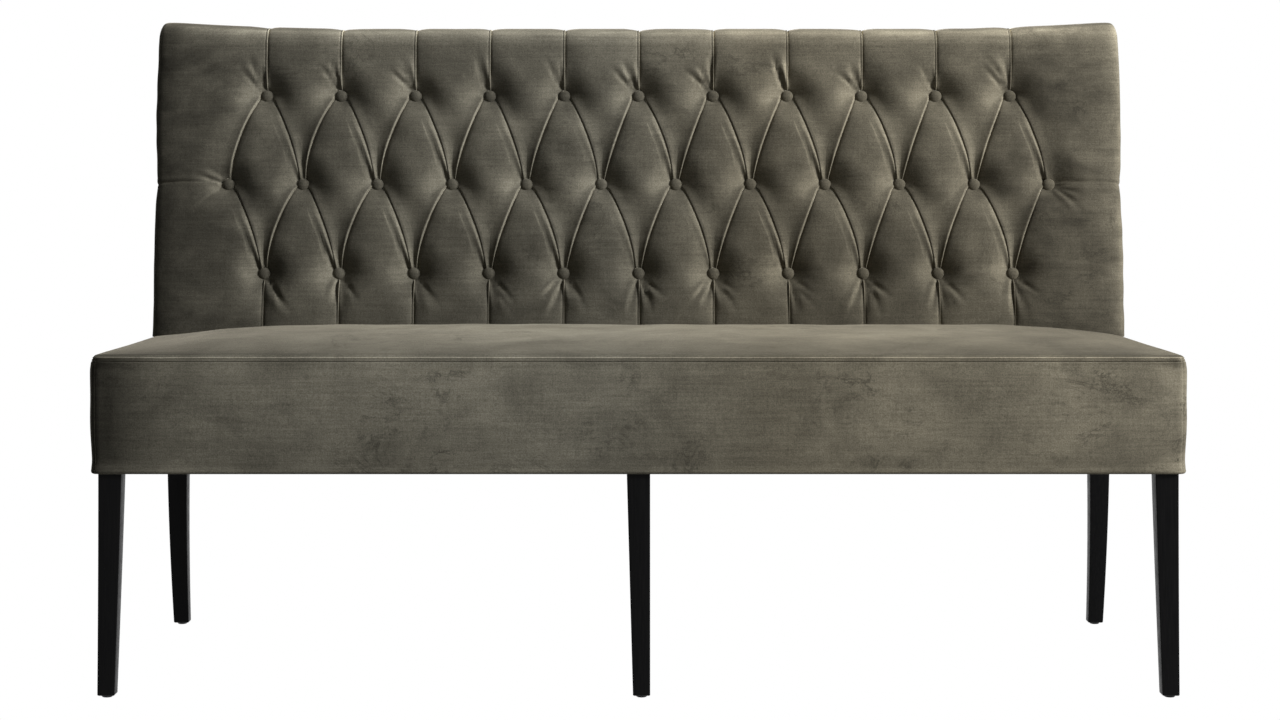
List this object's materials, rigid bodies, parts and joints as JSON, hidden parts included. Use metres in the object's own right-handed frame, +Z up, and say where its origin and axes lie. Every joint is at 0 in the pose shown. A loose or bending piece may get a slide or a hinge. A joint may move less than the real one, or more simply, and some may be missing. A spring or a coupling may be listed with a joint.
{
  "type": "dining bench",
  "caption": "Upholstered dining bench: boxed crowned seat, raked deep-buttoned back in velvet, black tapered curved legs.",
  "frame": {"origin": "on the floor under the middle of the bench's bounding box", "axes": "+X along the bench to the right as seen from the front, +Y from the seat front to the back, +Z up"},
  "size_m": [1.608, 0.6054, 1.0151],
  "materials": {
    "velvet": "velvet",
    "velvet_back": "velvet",
    "lacquered_wood": "satin lacquer",
    "beech": "planed",
    "plywood": "sanded",
    "foam": "open cell",
    "webbing": "woven",
    "dust_cloth": "non-woven",
    "twine": "waxed",
    "zinc_steel": "zinc plated"
  },
  "bodies": {
    "root": {"seat_front_rail": "beech", "seat_rear_rail": "beech", "seat_left_rail": "beech", "seat_right_rail": "beech", "seat_cross_rail": "beech", "seat_corner_blocks": "beech", "seat_rail_dowels": "beech", "seat_cross_straps": "webbing", "seat_long_straps": "webbing", "seat_foam": "foam", "seat_top_cover": "velvet", "seat_front_border": "velvet", "seat_left_border": "velvet", "seat_right_border": "velvet", "seat_dust_cloth": "dust_cloth", "leg_front_left": "lacquered_wood", "leg_front_right": "lacquered_wood", "leg_front_centre": "lacquered_wood", "leg_rear_left": "lacquered_wood", "leg_rear_right": "lacquered_wood", "leg_rear_centre": "lacquered_wood", "leg_glides": "zinc_steel", "leg_bolts": "zinc_steel", "leg_bolt_nuts": "zinc_steel", "rear_rail_bolts": "zinc_steel", "rear_rail_nuts": "zinc_steel", "back_top_rail": "beech", "back_lower_rail": "beech", "back_left_stud": "beech", "back_right_stud": "beech", "back_panel": "plywood", "back_foam": "foam", "back_cover": "velvet", "back_buttons": "velvet", "back_twines": "twine", "back_twine_washers": "zinc_steel", "outside_back": "velvet_back"}
  },
  "joints": []
}
